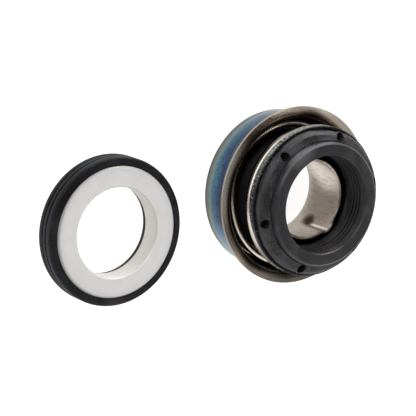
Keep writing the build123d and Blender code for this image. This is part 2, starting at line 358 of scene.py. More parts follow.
@dataclass(frozen=True)
class DrawnSteel(Finish):
    """Stainless sheet, deep drawn: satin, with fine lines from the die, blotchy tone, painted shade and
    painted highlights, and a dull haze.
    """

    dark: str = "#ada398"
    light: str = "#c0b7ac"
    stain: str = "#8d8276"
    roughness: float = 0.24
    wear_dulling: float = 0.04
    wear_depth: float = 0.0004
    relief: float = 0.2
    # Real die lines are about 0.05 mm apart, and the grain is finer still. Both are drawn coarser, to show.
    line_spacing: float = 0.28
    line_run: float = 9.0
    grain_size: float = 0.3
    stain_size: float = 4.0
    worn_reach: Reach = (0.6, 1.4)
    stain_reach: Reach = (0.55, 0.95)
    # A painted highlight along the rim of the sheet, and painted shade on the side of the rim.
    rim: str = "#bfb5a9"
    edge: str = "#8d8276"
    edge_radius: float = BEYOND
    edge_front: float = 0.45
    rim_reach: Reach = (-0.8, -0.1)
    rim_side_shade_reach: Reach = (0.0, -0.12)
    dish: float = 0.0
    # The sleeve, drawn lengthways and scuffed, with lugs pressed into it, and a painted highlight along the
    # lit flank of a lug.
    sleeve_grey: str = "#6c6359"
    sleeve_roughness: float = 0.38
    sleeve_radius: float = 0.0
    sleeve_spacing: float = 0.42
    sleeve_run: float = 2.25
    sleeve_reach: Reach = (0.0, 0.4)
    dull_reach: Reach = (0.6, 0.0)
    scuff_reach: Reach = (1.05, 0.75)
    scuff_edge: Reach = (0.5, 0.0)
    scuff_share: float = 0.5
    lug_highlight: str = "#f4ece2"
    lug_highlight_angle: float | None = None
    lug_highlight_width: Reach = (0.5, 0.225)
    lug_highlight_start: Reach = (-1.0, 0.0)
    lug_inside: Reach = (-1.3, -1.0)
    lug_outside: Reach = (-0.45, -0.7)
    # Painted shade inside the outer wall and over the bend of the flange, and deeper painted shade in
    # patches.
    bend_shade: str = "#6a6259"
    deeper_shade_patches: tuple[Patch, ...] = ()
    bend_reach: Reach = (-0.45, -1.25)
    front_reach: Reach = (-0.05, 0.1)
    wall_reach: Reach = (-0.12, -0.3)
    floor_reach: Reach = (1.0, 2.0)
    # Thinned lacquer that has run over the outside of the wall, with the dark line where it has gathered.
    film: str = "#5f6259"
    film_line: str = "#35424f"
    film_radius: float = BEYOND
    film_top: float = 0.0
    film_line_height: float = 0.0
    film_wander: float = 0.3
    film_outside: Reach = (-0.35, -0.05)
    film_below: Reach = (0.0, -0.3)
    film_line_width: Reach = (0.3, 0.12)
    # Dull haze, less of a mirror than the bare metal.
    haze: Spot | None = None
    haze_metal: float = 0.56

    def lug_highlight_share(self, on: Surface) -> Socket:
        """Gives the share of the painted highlight along the lit flank of the lug.

        Args:
            on: Surface that the finish is laid on.

        Returns:
            The share, from 0 to 1.
        """
        angle = math.radians(self.lug_highlight_angle)
        side = (-math.sin(angle), math.cos(angle), 0)
        across = on.add("ShaderNodeVectorMath", {0: on.point, 1: side}, "Value", operation="DOT_PRODUCT")
        return on.overlap(
            on.edge(on.height, 0.0, self.lug_highlight_start),
            on.edge(on.distance(across, 0.0), 0.0, self.lug_highlight_width),
            on.edge(on.radius, self.sleeve_radius, self.lug_inside),
            on.edge(on.radius, self.sleeve_radius, self.lug_outside),
        )

    def bend_shade_share(self, on: Surface) -> Socket:
        """Gives the share of the painted shade inside the outer wall, thinning over the flange.

        Args:
            on: Surface that the finish is laid on.

        Returns:
            The share, from 0 to 1.
        """
        bend = on.edge(on.radius, self.edge_radius, self.bend_reach)
        curved = on.overlap(bend, on.edge(on.height, 0.0, self.front_reach))
        wall = on.edge(on.radius, self.film_radius, self.wall_reach)
        inside = on.add("ShaderNodeMath", {0: curved, 1: wall}, operation="MAXIMUM")
        return on.overlap(inside, on.edge(on.radius, self.sleeve_radius, self.floor_reach))

    def film_share(self, on: Surface) -> Socket:
        """Gives the share of the thinned lacquer that has run over the outside of the wall."""
        outside = on.edge(on.radius, self.film_radius, self.film_outside)
        return on.overlap(outside, on.edge(on.height, self.film_top, self.film_below))

    def film_tint(self, on: Surface, lines: Socket) -> Colour:
        """Gives the colour of the thinned lacquer, with the dark line where it has gathered.

        Args:
            on: Surface that the finish is laid on.
            lines: Pattern of the fine lines.

        Returns:
            The colour.
        """
        wandering = on.wander(on.height, lines, self.film_wander)
        away = on.distance(wandering, self.film_line_height * MM)
        return on.coats(self.film, (on.edge(away, 0.0, self.film_line_width), self.film_line))

    def shade(self, on: Surface) -> bpy.types.Node:
        """Builds the nodes: blotches, lines, painted shade and painted highlights tint the metal, and lines
        and grain roughen it.

        Args:
            on: Surface that the finish is laid on.

        Returns:
            The shader node.
        """
        lines = on.lines(self.line_spacing, self.line_run)
        if self.sleeve_radius:
            drawn = on.lines(self.sleeve_spacing, self.sleeve_run, Lay.ALONG)
            beyond = on.edge(on.radius, self.sleeve_radius, self.sleeve_reach)
            lines = on.add("ShaderNodeMix", {0: beyond, 2: drawn, 3: lines})
        worn = on.add("ShaderNodeMath", {0: lines, 1: on.grain(self.grain_size)}, operation="ADD")
        # Painted shade on the side of the rim, under the front face.
        rim_side_shade = on.edge(on.height, self.edge_front, self.rim_side_shade_reach)
        coats = [
            (on.fade(worn, self.worn_reach), self.light),
            (on.fade(on.grain(self.stain_size, detail=2.0), self.stain_reach), self.stain),
            # Painted shade inside the wall and over the bend of the flange.
            (self.bend_shade_share(on), on.coats(self.bend_shade, *on.patched(self.deeper_shade_patches))),
            # Painted highlight along the rim, with painted shade on its side.
            (on.edge(on.radius, self.edge_radius, self.rim_reach), on.coats(self.rim, (rim_side_shade, self.edge))),
            (self.film_share(on), self.film_tint(on, lines)),
            *on.patched(self.patches),
        ]
        if self.sleeve_radius:
            within = on.edge(on.radius, self.sleeve_radius, self.scuff_edge)
            scuffs = on.overlap(on.fade(worn, self.scuff_reach), within, self.scuff_share)
            coats.append((scuffs, self.sleeve_grey))
        # Painted highlight along the lit flank of the lug.
        if self.lug_highlight_angle:
            coats.append((self.lug_highlight_share(on), self.lug_highlight))
        dull = on.edge(on.radius, self.sleeve_radius, self.dull_reach)
        smooth = on.vary(dull, self.roughness, self.sleeve_roughness)
        rubbed = {0: worn, 1: self.wear_dulling, 2: smooth}
        looks = {
            "Base Color": on.coats(self.dark, *coats),
            "Metallic": on.vary(on.spot(self.haze), 1.0, self.haze_metal) if self.haze else 1.0,
            "Roughness": on.add("ShaderNodeMath", rubbed, operation="MULTIPLY_ADD"),
        }
        dished = {"Strength": 1.0, "Distance": self.dish, "Height": on.radius}
        form = {"Normal": on.add("ShaderNodeBump", dished)}
        return on.skin(looks, worn, self.wear_depth, self.relief, form)


@dataclass(frozen=True)
class BondedCup(Finish):
    """Stainless cup: bright from the die at its rear, with grey primer, flecks of rubber and painted glints
    at its front, and its front edge painted near black as squeezed-out rubber and painted shade.
    """

    drawn: str = "#ddd3c9"
    bright: str = "#f2e9e0"
    primer: str = "#3a3e3b"
    # Painted glints, scattered over the primer and the front edge.
    painted_glint: str = "#c8ccc2"
    rubber: str = "#0b0c0d"
    # The front edge is painted near black: squeezed-out rubber, and painted shade in the gap to the shoulder.
    seam_flash_and_shade: str = "#242527"
    bare_roughness: float = 0.2
    primer_roughness: float = 0.42
    primer_metal: float = 0.6
    # Real die lines are about 0.03 mm apart, and the flecks 0.1 mm. Both are drawn coarser, to show.
    line_spacing: float = 0.12
    line_run: float = 8.0
    line_reach: Reach = (0.3, 0.7)
    fleck_size: float = 0.3
    fleck_depth: float = 0.015
    relief: Reach = (0.03, 0.6)
    primer_from: float = 4.65
    primer_reach: Reach = (0.1, 0.35)
    primer_painted_glints: Reach = (0.6, 0.72)
    primer_flecks: Reach = (0.5, 0.4)
    ragged: float = 0.5
    runback: float = 0.65
    runback_reach: Reach = (4.0, -6.0)
    # Above this height the cup is painted near black, as squeezed-out rubber and painted shade.
    front: float = 5.95
    seam_reach: Reach = (-0.15, 0.05)
    seam_painted_glints: Reach = (0.68, 0.74)
    seam_flecks: Reach = (0.6, 0.45)

    def shade(self, on: Surface) -> bpy.types.Node:
        """Builds the nodes: bare metal, then primer with painted glints and flecks, then a front edge painted
        near black, as squeezed-out rubber and painted shade in the gap, with painted glints.

        Args:
            on: Surface that the finish is laid on.

        Returns:
            The shader node.
        """
        flecks = on.grain(self.fleck_size, detail=3.0)
        ragged = on.wander(on.height, flecks, self.ragged)
        side = on.add("ShaderNodeSeparateXYZ", {0: on.point}, 1)
        sprayed = on.wander(ragged, on.edge(side, 0.0, self.runback_reach), -self.runback)
        primed = on.edge(sprayed, self.primer_from, self.primer_reach)
        primer = on.coats(
            self.primer,
            *on.patched(self.patches),
            (on.fade(flecks, self.primer_painted_glints), self.painted_glint),
            (on.fade(flecks, self.primer_flecks), self.rubber),
        )
        seam_flash_and_shade = on.coats(
            self.seam_flash_and_shade,
            (on.fade(flecks, self.seam_flecks), self.rubber),
            (on.fade(flecks, self.seam_painted_glints), self.painted_glint),
        )
        colour = on.coats(
            self.drawn,
            (on.fade(on.lines(self.line_spacing, self.line_run), self.line_reach), self.bright),
            (primed, primer),
            (on.edge(ragged, self.front, self.seam_reach), seam_flash_and_shade),
        )
        looks = {
            "Base Color": colour,
            "Metallic": on.vary(primed, 1.0, self.primer_metal),
            "Roughness": on.vary(primed, self.bare_roughness, self.primer_roughness),
        }
        return on.skin(looks, flecks, self.fleck_depth, on.vary(primed, *self.relief))


@dataclass(frozen=True)
class SpringWire(Finish):
    """Hard-drawn stainless wire: bright, with die lines along the wire."""

    dark: str = "#b5aa9d"
    light: str = "#efe4d8"
    # Real die lines on wire are about 0.02 mm apart. They are drawn coarser, to show.
    line_spacing: float = 0.1
    line_run: float = 8.0
    line_reach: Reach = (0.3, 0.7)
    line_depth: float = 0.003
    relief: float = 0.4
    roughness: Reach = (0.1, 0.26)

    def shade(self, on: Surface) -> bpy.types.Node:
        """Builds the nodes: die lines in the tint and the gloss.

        Args:
            on: Surface that the finish is laid on.

        Returns:
            The shader node.
        """
        lines = on.lines(self.line_spacing, self.line_run)
        drawn = (on.fade(lines, self.line_reach), self.light)
        looks = {
            "Base Color": on.coats(self.dark, drawn, *on.patched(self.patches)),
            "Metallic": 1.0,
            "Roughness": on.vary(lines, *self.roughness),
        }
        return on.skin(looks, lines, self.line_depth, self.relief)


@dataclass(frozen=True)
class SealingLacquer(Finish):
    """Blue anaerobic lacquer brushed on steel: glassy, thin at its edges, with the metal shining through."""

    blue: str = "#183a5e"
    # Navy: deeper lacquer, and painted shade under the flange.
    deep: str = "#0c1a3b"
    teal: str = "#2f6677"
    speck: str = "#081320"
    bare: str = "#65706b"
    metal: float = 0.8
    roughness: float = 0.34
    sheen: float = 0.3
    gloss: float = 0.15
    gloss_roughness: float = 0.12
    # Real bristle marks are about 0.15 mm apart, and the specks 0.1 mm. Both are drawn coarser, to show.
    bristle_spacing: float = 0.45
    bristle_run: float = 7.0
    bristle_reach: Reach = (0.5, 0.85)
    bristle_depth: float = 0.02
    relief: float = 0.4
    speck_size: float = 0.45
    speck_reach: Reach = (0.48, 0.75)
    cloud_size: float = 4.0
    cloud_wander: float = 2.4
    rear: float = 0.0
    front: float = 1.0
    # The blue deepens from so much of the length to just beyond the front, as deeper lacquer and painted
    # shade under the flange, and is greener near the rear.
    deep_from: float = 0.45
    deep_beyond: float = 0.4
    teal_from: float = 0.75
    teal_full: float = 1.1
    fray: float = 0.8
    fray_reach: Reach = (0.25, 1.75)

    def shade(self, on: Surface) -> bpy.types.Node:
        """Builds the nodes: brush marks and clouds in the blue, and a thin rear edge.

        Args:
            on: Surface that the finish is laid on.

        Returns:
            The shader node.
        """
        brushed = on.lines(self.bristle_spacing, self.bristle_run)
        clouded = on.wander(on.height, on.grain(self.cloud_size), self.cloud_wander)
        length = self.front - self.rear
        blue = on.coats(
            self.blue,
            (on.edge(clouded, self.rear, (length * self.deep_from, length + self.deep_beyond)), self.deep),
            (on.edge(clouded, self.rear, (length * self.teal_from, self.teal_full)), self.teal),
            (on.fade(brushed, self.bristle_reach), self.teal),
            (on.fade(on.grain(self.speck_size, detail=3.0), self.speck_reach), self.speck),
            *on.patched(self.patches),
        )
        frayed = on.wander(on.height, brushed, self.fray)
        looks = {
            "Base Color": on.coats(self.bare, (on.edge(frayed, self.rear, self.fray_reach), blue)),
            "Metallic": self.metal,
            "Roughness": self.roughness,
            "Specular IOR Level": self.sheen,
            "Coat Weight": self.gloss,
            "Coat Roughness": self.gloss_roughness,
        }
        return on.skin(looks, brushed, self.bristle_depth, self.relief)


@dataclass(frozen=True)
class MouldedRubber(Finish):
    """Nitrile rubber from a steel mould: near black, satin, with a spark-eroded grain, a dry bloom, and
    painted shade below a given height.
    """

    black: str = "#1b1b1d"
    bloom: str = "#3d3d40"
    dust: str = "#4c4b4c"
    inside_shade: str = "#0a0a0c"
    pale_lip: str = "#6a6865"
    roughness: float = 0.5
    roughening: Reach = (-0.08, 0.12)
    sheen: float = 0.3
    # Real spark-eroded grain is about 0.03 mm, and dust 0.05 mm. Both are drawn coarser, to show.
    grain_size: float = 0.09
    grain_depth: float = 0.012
    relief: float = 0.5
    dust_size: float = 0.24
    dust_reach: Reach = (0.5, 0.8)
    bloom_width: float = 1.1
    bloom_length: float = 3.2
    bloom_reach: Reach = (0.38, 0.68)
    gloss_reach: Reach = (0.3, 0.7)
    # Below a height the rubber is painted near black, as painted shade inside the case, and the outside of a
    # rear lip is painted lighter.
    inside_shade_below: float = -BEYOND
    inside_shade_reach: Reach = (0.0, -0.8)
    pale_lip_to: float = -BEYOND
    pale_lip_radius: float = 0.0
    pale_lip_reach: Reach = (0.0, -0.5)
    pale_lip_edge: Reach = (-0.5, 0.0)

    def shade(self, on: Surface) -> bpy.types.Node:
        """Builds the nodes: a patchy bloom over a fine grain.

        Args:
            on: Surface that the finish is laid on.

        Returns:
            The shader node.
        """
        bloom = on.lines(self.bloom_width, self.bloom_length)
        low = on.edge(on.height, self.pale_lip_to, self.pale_lip_reach)
        colour = on.coats(
            self.black,
            (on.fade(bloom, self.bloom_reach), self.bloom),
            (on.fade(on.grain(self.dust_size, detail=2.0), self.dust_reach), self.dust),
            (on.edge(on.height, self.inside_shade_below, self.inside_shade_reach), self.inside_shade),
            (on.overlap(low, on.edge(on.radius, self.pale_lip_radius, self.pale_lip_edge)), self.pale_lip),
            *on.patched(self.patches),
        )
        smooth, dry = [self.roughness + change for change in self.roughening]
        looks = {
            "Base Color": colour,
            "Roughness": on.vary(bloom, smooth, dry, self.gloss_reach),
            "Specular IOR Level": self.sheen,
        }
        return on.skin(looks, on.grain(self.grain_size), self.grain_depth, self.relief)


@dataclass(frozen=True)
class LappedCarbon(Finish):
    """Resin-filled carbon graphite, turned, with its face lapped: soft dark grey with turning lines."""

    dark: str = "#17181b"
    light: str = "#26272b"
    smear: str = "#3b3431"
    roughness: Reach = (0.4, 0.54)
    sheen: float = 0.42
    # Real turning lines are about 0.05 mm apart, and the pores 0.02 mm. Both are drawn coarser, to show.
    line_spacing: float = 0.16
    line_run: float = 7.0
    pore_size: float = 0.12
    mark_reach: Reach = (0.7, 1.3)
    mark_depth: float = 0.006
    relief: float = 0.4
    smear_size: float = 2.6
    smear_reach: Reach = (0.45, 0.8)

    def shade(self, on: Surface) -> bpy.types.Node:
        """Builds the nodes: turning lines and the pores of the carbon.

        Args:
            on: Surface that the finish is laid on.

        Returns:
            The shader node.
        """
        lines = on.lines(self.line_spacing, self.line_run)
        marks = on.add("ShaderNodeMath", {0: lines, 1: on.grain(self.pore_size)}, operation="ADD")
        colour = on.coats(
            self.dark,
            (on.fade(marks, self.mark_reach), self.light),
            (on.fade(on.grain(self.smear_size, detail=3.0), self.smear_reach), self.smear),
            *on.patched(self.patches),
        )
        looks = {
            "Base Color": colour,
            "Roughness": on.vary(marks, *self.roughness, self.mark_reach),
            "Specular IOR Level": self.sheen,
        }
        return on.skin(looks, marks, self.mark_depth, self.relief)


@dataclass(frozen=True)
class GroundAlumina(Finish):
    """Sintered alumina, ground and lapped: milky white with light soaking in, painted shade on its outer rim,
    and a warmer bore darkened by painted shade.
    """

    white: str = "#dfdedd"
    warm: str = "#dcd8d3"
    worn: str = "#d3d1cf"
    # The outer rim and the bore are painted darker, as painted shade.
    rim: str = "#a5a29f"
    bore: str = "#c1bcb6"
    roughness: Reach = (0.42, 0.55)
    ior: float = 1.76
    soak: float = 0.25
    soak_depth: float = 0.5
    soak_tint: Corner = (1.0, 0.9, 0.8)
    bore_radius: float = 7.62
    bore_reach: Reach = (0.24, 0.02)
    outer_radius: float = 11.13
    worn_reach: Reach = (-1.6, 0.0)
    rim_reach: Reach = (-0.45, -0.15)
    cloud_size: float = 3.0
    cloud_reach: Reach = (0.4, 0.75)
    # Real grinding lines are about 0.02 mm apart. They are drawn coarser, to show.
    line_spacing: float = 0.14
    line_run: float = 5.0
    line_reach: Reach = (0.3, 0.7)
    line_depth: float = 0.003
    relief: float = 0.3

    def shade(self, on: Surface) -> bpy.types.Node:
        """Builds the nodes: cloudy white, ground lines, painted shade on the outer rim and a warm bore
        darkened by painted shade.

        Args:
            on: Surface that the finish is laid on.

        Returns:
            The shader node.
        """
        ground = on.lines(self.line_spacing, self.line_run)
        colour = on.coats(
            self.white,
            (on.fade(on.grain(self.cloud_size), self.cloud_reach), self.warm),
            (on.edge(on.radius, self.outer_radius, self.worn_reach), self.worn),
            (on.edge(on.radius, self.outer_radius, self.rim_reach), self.rim),
            (on.edge(on.radius, self.bore_radius, self.bore_reach), self.bore),
        )
        looks = {
            "Base Color": colour,
            "Roughness": on.vary(ground, *self.roughness, self.line_reach),
            "IOR": self.ior,
            "Subsurface Weight": self.soak,
            "Subsurface Radius": self.soak_tint,
            "Subsurface Scale": self.soak_depth * MM,
        }
        return on.skin(looks, ground, self.line_depth, self.relief)


@dataclass(frozen=True)
class LitTable(Finish):
    """White acrylic top of a light table: matt, and lit softly from below so that shadows stay pale."""

    white: str = "#d0d0d0"
    pale: str = "#d6d6d6"
    cloud_size: float = 60.0
    roughness: float = 0.9
    glow: float = 0.85

    def shade(self, on: Surface) -> bpy.types.Node:
        """Builds the nodes: a matt white with the glow behind it.

        Args:
            on: Surface that the finish is laid on.

        Returns:
            The shader node.
        """
        looks = {
            "Base Color": on.coats(self.white, (on.grain(self.cloud_size), self.pale)),
            "Roughness": self.roughness,
            "Emission Color": linear("#ffffff"),
            "Emission Strength": self.glow,
        }
        return add_node(on.tree, "ShaderNodeBsdfPrincipled", looks)


def lathe(corners: list[Corner], centre_x: float = 0.0, steps: int = 180) -> bmesh.types.BMesh:
    """Turns a closed section round an upright axis.

    Args:
        corners: Radius, height and rounding of each corner of the section, in millimetres.
        centre_x: Place of the axis along X, in millimetres.
        steps: Number of steps in the full turn.

    Returns:
        The turned mesh, in metres, with its faces pointing outwards.
    """
    mesh = bmesh.new()
    points = [mesh.verts.new(((centre_x + radius) * MM, 0, height * MM)) for radius, height, _ in corners]
    mesh.faces.new(points)
    for rounding in sorted({corner[2] for corner in corners if corner[2]}):
        rounded = [point for point, corner in zip(points, corners) if corner[2] == rounding]
        bmesh.ops.bevel(
            mesh,
            geom=rounded,
            offset=rounding * MM,
            offset_type="OFFSET",
            segments=ROUND_STEPS,
            profile=0.5,
            affect="VERTICES",
            material=-1,
        )
    bmesh.ops.delete(mesh, geom=mesh.faces[:], context="FACES_ONLY")
    bmesh.ops.spin(
        mesh,
        geom=mesh.verts[:] + mesh.edges[:],
        cent=(centre_x * MM, 0, 0),
        axis=AXIS,
        angle=math.tau,
        steps=steps,
        use_merge=True,
    )
    bmesh.ops.remove_doubles(mesh, verts=mesh.verts, dist=WELD)
    bmesh.ops.recalc_face_normals(mesh, faces=mesh.faces)
    return mesh


def finish_piece(mesh: bmesh.types.BMesh, name: str, material: bpy.types.Material) -> bpy.types.Object:
    """Turns a mesh into a piece of the scene with smooth shading and crisp edges.

    Args:
        mesh: The shape, in metres; it is freed.
        name: Name of the piece.
        material: Its material.

    Returns:
        The piece, at the origin.
    """
    data = bpy.data.meshes.new(name)
    mesh.to_mesh(data)
    mesh.free()
    data.shade_smooth()
    data.set_sharp_from_angle(angle=math.radians(CRISP_ANGLE))
    piece = bpy.data.objects.new(name, data)
    bpy.context.scene.collection.objects.link(piece)
    data.materials.append(material)
    return piece


def dress(node: str, material: bpy.types.Material) -> None:
    """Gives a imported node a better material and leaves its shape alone.

    Args:
        node: Name of the node.
        material: The material.
    """
    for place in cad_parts[node].material_slots:
        place.material = material
    log.info("%s keeps its shape and is dressed as %s", node, material.name)


@dataclass
class CaseUnit:
    """Drawn steel case with its lacquered wall and the rest ring inside."""

    wall_radius: float = 13.9
    flange_radius: float = 15.5
    sleeve_radius: float = 8.0
    flange_dish: float = 0.2
    lug_angle: float = 299.0
    coat: float = 0.1
    coat_rounding: float = 0.06
    coat_rear: float = -5.95
    coat_front: float = -0.6
    run_line: float = -6.75
    edge_wander: float = 0.16
    edge_wave: float = 3.0
    edge_band: float = 0.2
    steps: int = 240
    haze: Spot = Spot((-14.2, 5.2, 0.5), 9.5)
    # Painted shade over the inner part of the flange on the left.
    flange_painted_shade: Patch = Patch((-14.6, 2.6, 0.4), 9.0, "#2a2622")
    # Painted reflection of the white table: paler blue low on the left of the wall.
    lacquer_painted_reflection: Patch = Patch((-10.0, -9.6, -4.5), 9.0, "#3a6482")
    # Painted shade and painted highlights on the case: shade on the right of the sleeve, a highlight on its
    # upper right, shadow in the pit behind the lug, shade on the lower left, bottom and top of the flange,
    # and shade on its upper right rim.
    painted_shade_and_highlights: tuple[Patch, ...] = (
        Patch((7.0, -2.8, 0.0), 7.0, "#8a8177"),
        Patch((6.6, 3.9, 0.8), 5.8, "#efe6dc"),
        Patch((3.75, -5.75, -1.6), 1.7, "#5a524a"),
        Patch((-8.6, -8.3, 0.4), 4.9, "#1e1b18"),
        Patch((-2.6, -11.6, 0.4), 3.8, "#3a3530"),
        Patch((3.6, 11.8, 0.4), 3.6, "#2a2622"),
        Patch((11.0, 10.6, 0.4), 5.5, "#a2988d"),
    )

    def build(self) -> None:
        """Dresses the case and the rest ring, and lays the lacquer on the wall."""
        steel = DrawnSteel(
            "drawn_stainless_case",
            patches=self.painted_shade_and_highlights,
            edge_radius=self.flange_radius,
            dish=self.flange_dish,
            sleeve_radius=self.sleeve_radius,
            lug_highlight_angle=self.lug_angle,
            deeper_shade_patches=(self.flange_painted_shade,),
            film_radius=self.wall_radius,
            film_top=self.coat_front,
            film_line_height=self.run_line,
            haze=self.haze,
        )
        dress("case", steel.material())
        dress("spring_rest_ring", DrawnSteel("pressed_stainless_ring", light="#a8a49c").material())
        film = self.lacquer_film()
        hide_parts("sealant_coat")
        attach(film, Body.BASE.value)
        log.info("%s laid on the wall of the case", film.name)

    def lacquer_film(self) -> bpy.types.Object:
        """Makes the lacquer: a thin sleeve whose rear edge wanders as a brush leaves it.

        Returns:
            The film.
        """
        outside = self.wall_radius + self.coat
        section = [
            (self.wall_radius, self.coat_rear, 0.0),
            (outside, self.coat_rear, self.coat_rounding),
            (outside, self.coat_front, self.coat_rounding),
            (self.wall_radius, self.coat_front, 0.0),
        ]
        mesh = lathe(section, steps=self.steps)
        for vert in mesh.verts:
            if vert.co.z < (self.coat_rear + self.edge_band) * MM:
                wander = noise.noise(vert.co / (self.edge_wave * MM))
                vert.co.z += abs(wander) * self.edge_wander * MM
        finish = SealingLacquer(
            "blue_sealing_lacquer", patches=(self.lacquer_painted_reflection,), rear=self.coat_rear, front=self.coat_front
        )
        return finish_piece(mesh, "lacquer_film", finish.material())


@dataclass
class SpringUnit:
    """Coil spring with closed and ground ends."""

    rear_radius: float = 12.2
    taper: float = 1.1
    taper_turns: float = 1.0
    wire: float = 1.2
    wire_steps: int = 6
    rear: float = -6.2
    front: float = 3.5
    grind: float = 0.3
    active_turns: float = 2.2
    dead_turns: float = 0.6
    dead_pitch: float = 1.25
    pitch_ease: float = 0.4
    end_angle: float = 80.0
    points_per_turn: int = 80
    travel: float = 3.0
    # Painted shade on the wire at its upper left.
    wire_painted_shade: Patch = Patch((-8.9, 7.4, 1.5), 8.2, "#3f3932")

    @property
    def turns(self) -> float:
        """Turns of the whole spring."""
        return self.active_turns + 2 * self.dead_turns

    def open_turns(self, turn: float) -> float:
        """Counts the open turns so far, with the opening eased in and out.

        Args:
            turn: Turns from the rear end.

        Returns:
            The open turns.
        """
        done = min(max(turn - self.dead_turns, 0.0), self.active_turns)
        opening = min(done, self.pitch_ease)
        closing = max(done - self.active_turns + self.pitch_ease, 0.0)
        return done - opening + (opening**2 - closing**2) / (2 * self.pitch_ease)

    def height(self, turn: float) -> float:
        """Gives the height of the wire.

        Args:
            turn: Turns from the rear end.

        Returns:
            The height, in millimetres.
        """
        first = self.rear + self.wire / 2 - self.grind
        last = self.front - self.wire / 2 + self.grind
        open_rise = last - first - self.dead_pitch * self.turns
        share = self.open_turns(turn) / self.open_turns(self.turns)
        return first + self.dead_pitch * turn + open_rise * share

    def radius(self, turn: float) -> float:
        """Gives the middle radius of the spring, which narrows towards the retainer.

        Args:
            turn: Turns from the rear end.

        Returns:
            The radius, in millimetres.
        """
        share = min(max((turn - self.turns + self.dead_turns) / self.taper_turns + 1.0, 0.0), 1.0)
        return self.rear_radius - self.taper * share**2 * (3 - 2 * share)

    def build(self) -> None:
        """Winds the spring and attaches it to the base."""
        spring = self.wound_wire()
        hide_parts("coil_spring")
        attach(spring, Body.BASE.value)
        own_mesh(spring)
        log.info("%s wound in %.1f turns", spring.name, self.turns)

    def wound_wire(self) -> bpy.types.Object:
        """Winds the wire and grinds its ends flat.

        Returns:
            The spring.
        """
        curve = bpy.data.curves.new("spring_wire", "CURVE")
        curve.dimensions = "3D"
        curve.bevel_depth = self.wire / 2 * MM
        curve.bevel_resolution = self.wire_steps
        curve.use_fill_caps = True
        line = curve.splines.new("POLY")
        count = round(self.turns * self.points_per_turn) + 1
        line.points.add(count - 1)
        for index, point in enumerate(line.points):
            turn = index * self.turns / (count - 1)
            angle = math.radians(self.end_angle) + math.tau * (turn - self.turns)
            radius = self.radius(turn)
            spot = Vector((radius * math.cos(angle), radius * math.sin(angle), self.height(turn))) * MM
            point.co = (*spot, 1.0)
        carrier = bpy.data.objects.new("spring_wire", curve)
        mesh = bmesh.new()
        mesh.from_mesh(carrier.to_mesh())
        bpy.data.objects.remove(carrier)
        bpy.data.curves.remove(curve)
        bmesh.ops.remove_doubles(mesh, verts=mesh.verts, dist=WELD)
        for level, side in ((self.rear, -1), (self.front, 1)):
            cut = bmesh.ops.bisect_plane(
                mesh,
                geom=mesh.verts[:] + mesh.edges[:] + mesh.faces[:],
                plane_co=(0, 0, level * MM),
                plane_no=(0, 0, side),
                clear_outer=True,
            )
            rim = [edge for edge in cut["geom_cut"] if isinstance(edge, bmesh.types.BMEdge)]
            bmesh.ops.holes_fill(mesh, edges=rim, sides=0)
        bmesh.ops.recalc_face_normals(mesh, faces=mesh.faces)
        finish = SpringWire("bright_spring_wire", patches=(self.wire_painted_shade,))
        return finish_piece(mesh, "wound_spring", finish.material())


